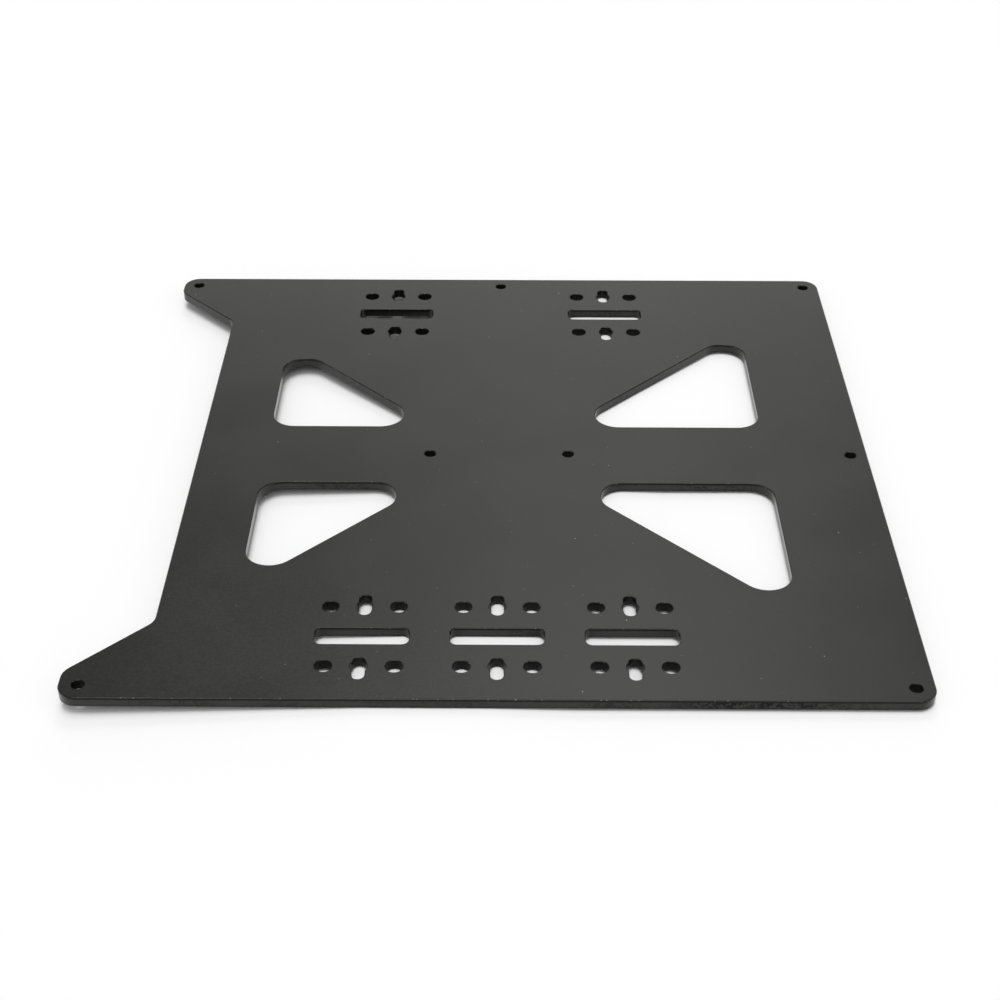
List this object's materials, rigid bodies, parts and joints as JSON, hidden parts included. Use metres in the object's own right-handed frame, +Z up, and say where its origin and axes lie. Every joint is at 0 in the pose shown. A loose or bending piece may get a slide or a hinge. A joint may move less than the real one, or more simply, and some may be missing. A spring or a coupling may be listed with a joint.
{
  "type": "y carriage plate",
  "caption": "Flat winged plate with triangular windows, slots and screw holes, which carries a printer's heated bed on linear bearings.",
  "frame": {"origin": "middle of the underside, at the centre of the four corner holes", "axes": "+Z up through the sheet, +X along the rods away from the wings, +Y towards the edge with fewer bearing places"},
  "size_m": [0.219, 0.219, 0.003],
  "materials": {
    "black_anodised": "matte black anodised"
  },
  "bodies": {
    "root": {"carriage_plate": "black_anodised"}
  },
  "joints": []
}
